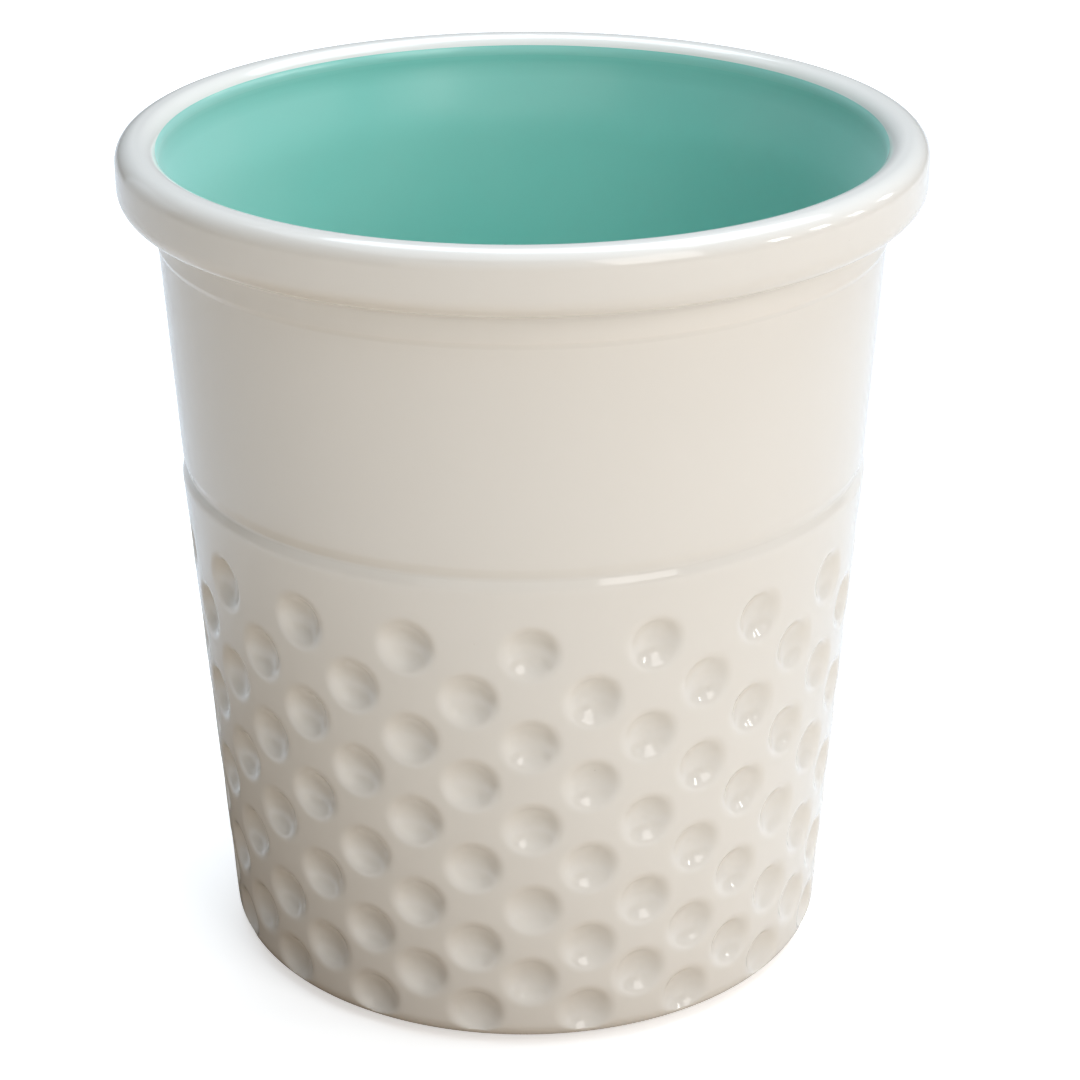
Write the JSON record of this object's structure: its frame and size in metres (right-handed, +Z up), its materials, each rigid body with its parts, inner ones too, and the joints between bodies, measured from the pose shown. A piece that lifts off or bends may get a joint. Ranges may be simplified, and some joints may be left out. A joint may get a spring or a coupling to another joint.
{
  "type": "yarn bowl",
  "caption": "Ceramic yarn bowl shaped like a giant thimble, open on top, with a rolled rim and a dimpled lower wall, to keep a ball of yarn from rolling away.",
  "frame": {"origin": "centre of the foot, on the table the bowl stands on", "axes": "+Z up the bowl's axis towards the open rim; -Y towards the viewer, with a dimple column in the middle"},
  "size_m": [0.152, 0.152, 0.164],
  "materials": {
    "clay": "unglazed fired stoneware, matt",
    "white_glaze": "glossy warm white glaze",
    "aqua_glaze": "glossy aqua green glaze"
  },
  "bodies": {
    "root": {"clay_body": "clay", "outer_glaze": "white_glaze", "inner_glaze": "aqua_glaze", "base_glaze": "white_glaze"}
  },
  "joints": []
}
